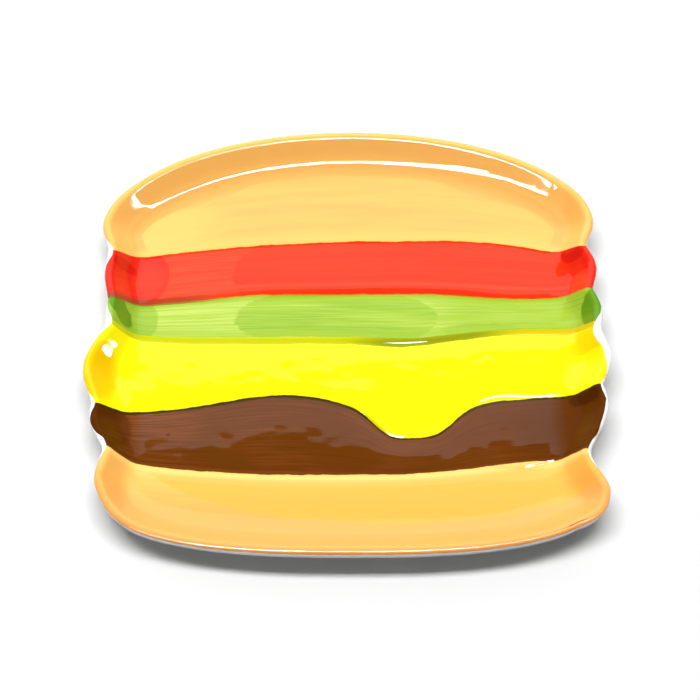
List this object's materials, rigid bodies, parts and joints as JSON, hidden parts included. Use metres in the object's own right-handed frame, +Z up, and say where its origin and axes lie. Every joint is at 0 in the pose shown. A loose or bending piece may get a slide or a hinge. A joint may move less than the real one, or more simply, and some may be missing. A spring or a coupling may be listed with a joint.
{
  "type": "burger-shaped ceramic platter",
  "caption": "Shallow glazed ceramic serving platter with a raised rim and foot, cast and painted in the layered outline of a cheeseburger.",
  "frame": {"origin": "centre of the platter's bounding box, on the surface that its foot stands on", "axes": "+X to the right of the burger across its layers, +Y from the bottom bun to the top bun, +Z up out of the dish"},
  "size_m": [0.282, 0.2504, 0.022],
  "materials": {
    "painted_glaze": "brush-painted colours under a clear gloss glaze, white underneath"
  },
  "bodies": {
    "root": {"platter": "painted_glaze"}
  },
  "joints": []
}
